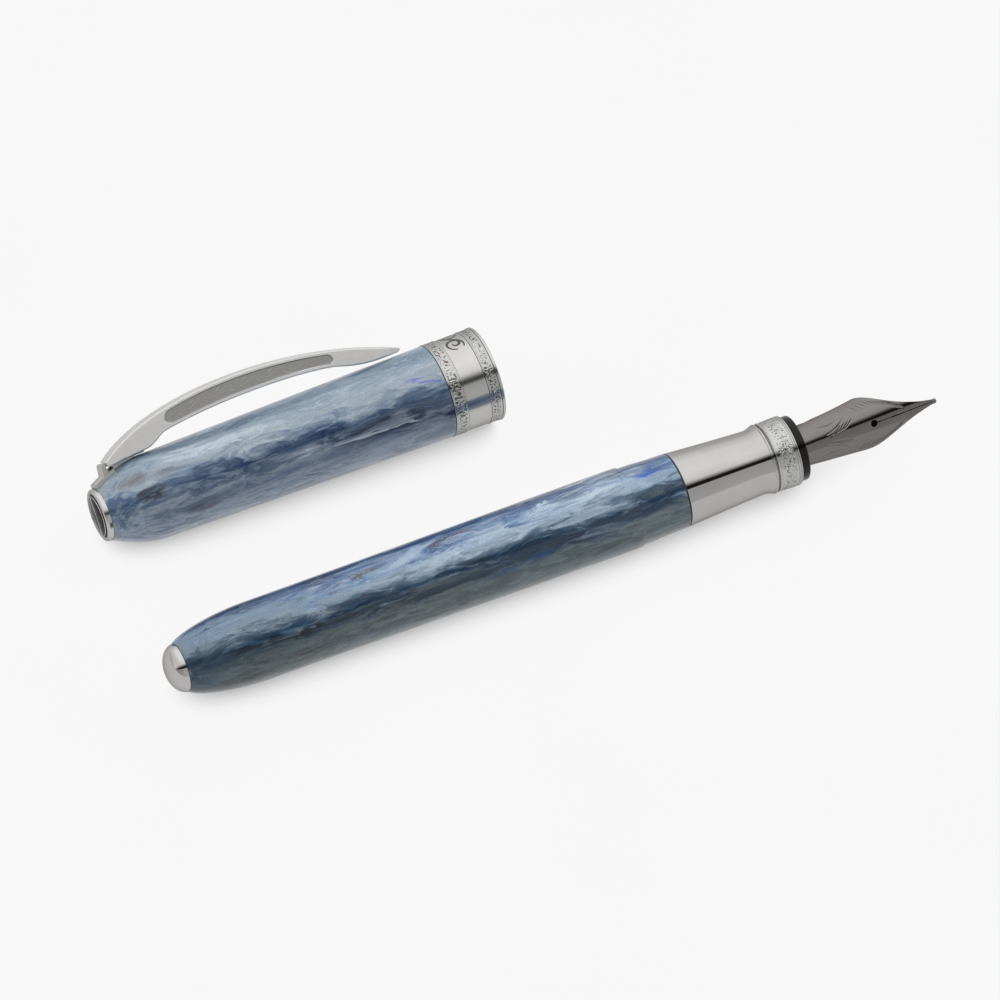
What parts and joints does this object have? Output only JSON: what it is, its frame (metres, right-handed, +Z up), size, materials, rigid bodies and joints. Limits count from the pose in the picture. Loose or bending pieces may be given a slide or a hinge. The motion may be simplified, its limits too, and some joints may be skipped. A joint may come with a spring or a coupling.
{
  "type": "fountain pen",
  "caption": "Fountain pen with its cap off beside it: unscrewing barrel, piston converter, pull-out nib and feed, sprung arched clip and magnetic cap.",
  "frame": {"origin": "under the middle of the arrangement, on the surface that the pen and the cap lie on", "axes": "+X along the pen towards the nib, +Y towards the cap lying beside it, +Z up"},
  "size_m": [0.1268, 0.0489, 0.017],
  "materials": {
    "barrel_resin": "polished swirled resin, steel blue with pale streaks",
    "cap_resin": "polished swirled resin, pale grey blue with a dark blue band",
    "gunmetal": "polished dark plating",
    "polished_steel": "polished",
    "satin_steel": "satin",
    "plain_steel": "turned",
    "nib_metal": "dark plated, engraved",
    "tipping": "ground ball",
    "magnet": "plated magnet",
    "end_disc_metal": "dark enamel with bright lines",
    "black_plastic": "moulded",
    "black_gloss": "gloss",
    "clear_plastic": "clear",
    "seal_plastic": "moulded",
    "dark_rubber": "matte"
  },
  "bodies": {
    "section": {"grip_section": "gunmetal", "section_connector": "black_plastic", "joint_washer": "dark_rubber", "nib_housing": "black_plastic", "grip_trim_ring": "polished_steel", "closure_magnet": "magnet", "closure_ring": "black_gloss"},
    "nib_unit": {"nib": "nib_metal", "nib_tipping": "tipping", "feed": "black_plastic"},
    "converter": {"converter_mouth": "black_plastic", "converter_tube": "clear_plastic", "converter_band": "polished_steel"},
    "converter_knob": {"converter_knob": "black_plastic"},
    "converter_piston": {"piston_rod": "plain_steel", "piston_seal": "seal_plastic"},
    "barrel_insert": {"barrel_insert": "black_plastic"},
    "barrel": {"barrel": "barrel_resin", "tail_dome": "polished_steel", "tail_screw": "plain_steel"},
    "cap": {"cap_shell": "cap_resin", "cap_sleeve": "polished_steel", "band_ring_rear": "polished_steel", "band_centre": "polished_steel", "band_ring_front": "polished_steel", "cap_liner": "black_plastic", "cap_magnet": "magnet", "cap_end_ring": "polished_steel", "cap_head_screw": "plain_steel", "clip_bracket": "satin_steel", "clip_pin": "plain_steel", "clip_spring": "plain_steel"},
    "clip": {"clip": "satin_steel"},
    "end_disc": {"end_disc": "end_disc_metal", "end_disc_magnet": "magnet"}
  },
  "joints": [
    {"name": "nib_unit_pull", "type": "slide", "parent": "section", "child": "nib_unit", "axis": [1, 0, 0.0042], "range_m": [0, 0.01]},
    {"name": "converter_unplug", "type": "slide", "parent": "section", "child": "converter", "axis": [-1, 0, -0.0042], "range_m": [0, 0.006]},
    {"name": "knob_turn", "type": "hinge", "parent": "converter", "child": "converter_knob", "pos_m": [-0.03043, -0.01805, 0.00618], "axis": [-1, 0, -0.0042], "range_deg": [0, 2881]},
    {"name": "piston_draw", "type": "slide", "parent": "converter", "child": "converter_piston", "axis": [-1, 0, -0.0042], "range_m": [0, 0.022]},
    {"name": "barrel_draw", "type": "slide", "parent": "section", "child": "barrel_insert", "axis": [-1, 0, -0.0042], "range_m": [0, 0.075]},
    {"name": "barrel_turn", "type": "hinge", "parent": "barrel_insert", "child": "barrel", "pos_m": [-0.00343, -0.01805, 0.0063], "axis": [-1, 0, -0.0042], "range_deg": [0, 2521]},
    {"name": "cap_swing", "type": "hinge", "parent": "section", "child": "cap", "pos_m": [0.03578, -0.00183, 0.00701], "axis": [0.0091, 0.043, -0.999], "range_deg": [0, 180.42]},
    {"name": "clip_lift", "type": "hinge", "parent": "cap", "child": "clip", "pos_m": [-0.05384, 0.01966, 0.01212], "axis": [-0.0056, -0.6833, 0.7301], "range_deg": [0, 5], "stiffness_Nm_per_rad": 1},
    {"name": "end_disc_pull", "type": "slide", "parent": "cap", "child": "end_disc", "axis": [-0.9999, -0.007, -0.0142], "range_m": [0, 0.004], "stiffness_N_per_m": 100}
  ],
  "couplings": [
    {"joint": "knob_turn", "follows": "piston_draw", "rad_per_m": 2284.8},
    {"joint": "barrel_turn", "follows": "barrel_draw", "rad_per_m": 586.43}
  ]
}
